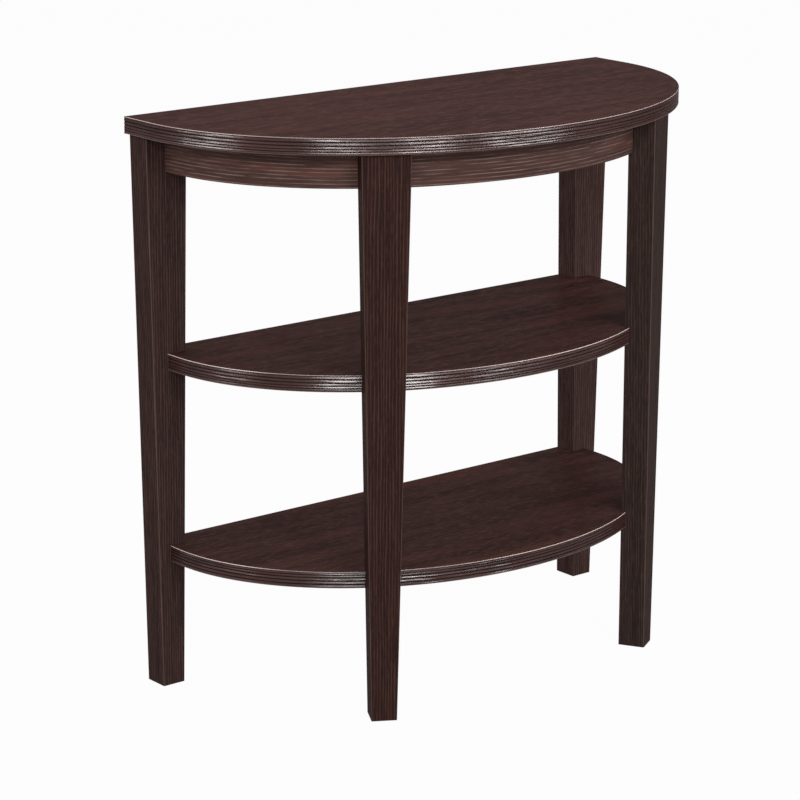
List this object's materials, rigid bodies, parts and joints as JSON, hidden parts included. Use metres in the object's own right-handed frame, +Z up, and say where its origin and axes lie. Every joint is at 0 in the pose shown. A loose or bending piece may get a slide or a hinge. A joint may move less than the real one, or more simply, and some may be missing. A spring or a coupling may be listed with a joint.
{
  "type": "half-moon console table",
  "caption": "Half-moon console table with a straight back edge, a bowed front, tapered legs, a curved apron and open shelves notched round the legs.",
  "frame": {"origin": "on the floor, under the middle of the top's width and depth", "axes": "+X along the straight back edge to the right as seen from the front, +Y towards the wall behind, +Z up"},
  "size_m": [0.8, 0.377, 0.75],
  "materials": {
    "top_laminate": "dark espresso wood-grain laminate, satin",
    "shelf_laminate": "dark espresso wood-grain laminate, satin",
    "edge_band": "dark embossed edge band with deep grain ridges, satin",
    "leg_laminate": "dark espresso laminate with fine upright pores, satin",
    "apron_laminate": "dark reddish espresso wood-grain laminate, satin",
    "beech": "plain beech",
    "zinc_steel": "zinc-plated steel",
    "zinc_casting": "bare zinc casting"
  },
  "bodies": {
    "root": {"top_panel": "top_laminate", "middle_shelf": "shelf_laminate", "lower_shelf": "shelf_laminate", "back_rail": "apron_laminate", "top_front_band": "edge_band", "top_back_band": "edge_band", "middle_shelf_left_band": "edge_band", "middle_shelf_front_band": "edge_band", "middle_shelf_right_band": "edge_band", "middle_shelf_back_band": "edge_band", "lower_shelf_left_band": "edge_band", "lower_shelf_front_band": "edge_band", "lower_shelf_right_band": "edge_band", "lower_shelf_back_band": "edge_band", "back_left_leg": "leg_laminate", "back_right_leg": "leg_laminate", "front_left_leg": "leg_laminate", "front_right_leg": "leg_laminate", "left_apron": "apron_laminate", "front_apron": "apron_laminate", "right_apron": "apron_laminate", "apron_dowels": "beech", "rail_dowels": "beech", "top_cam_bolts": "zinc_steel", "top_cam_locks": "zinc_casting", "top_dowels": "beech", "middle_shelf_cam_bolts": "zinc_steel", "middle_shelf_cam_locks": "zinc_casting", "middle_shelf_dowels": "beech", "lower_shelf_cam_bolts": "zinc_steel", "lower_shelf_cam_locks": "zinc_casting", "lower_shelf_dowels": "beech"}
  },
  "joints": []
}
